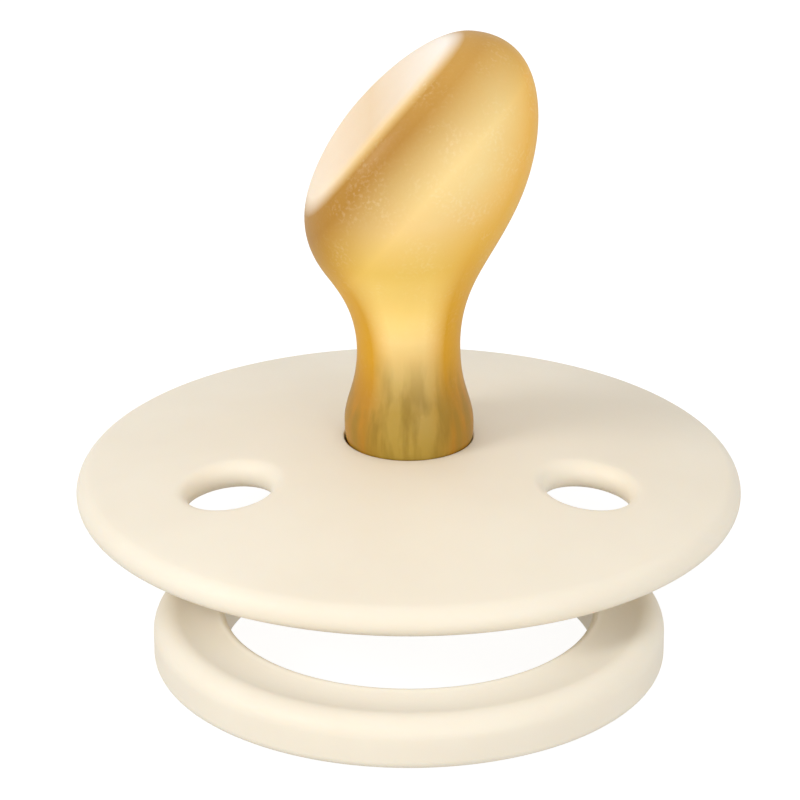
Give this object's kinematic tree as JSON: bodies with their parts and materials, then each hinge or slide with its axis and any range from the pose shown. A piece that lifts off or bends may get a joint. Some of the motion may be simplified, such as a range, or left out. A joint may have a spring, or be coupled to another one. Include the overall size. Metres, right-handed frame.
{
  "type": "pacifier",
  "caption": "Baby's pacifier: round vented shield with a slanted latex teat on one side and a knob with a hinged finger ring on the other.",
  "frame": {"origin": "centre of the knob's flat outer face, on the teat's axis", "axes": "+Z from the knob to the teat's tip, -Y towards the ring's free end at rest, -X towards the side the teat's flat face looks to"},
  "size_m": [0.044, 0.0506, 0.0374],
  "materials": {
    "ivory_plastic": "fine matte moulded",
    "amber_latex": "translucent satin natural rubber",
    "plug_plastic": "smooth moulded"
  },
  "bodies": {
    "shield_body": {"shield": "ivory_plastic", "knob": "ivory_plastic", "teat": "amber_latex", "teat_plug": "plug_plastic"},
    "ring_body": {"ring": "ivory_plastic"}
  },
  "joints": [
    {"name": "ring_swing", "type": "hinge", "parent": "shield_body", "child": "ring_body", "pos_m": [0, 0, 0.0018], "axis": [1, 0, 0], "range_deg": [-6, 185]}
  ]
}
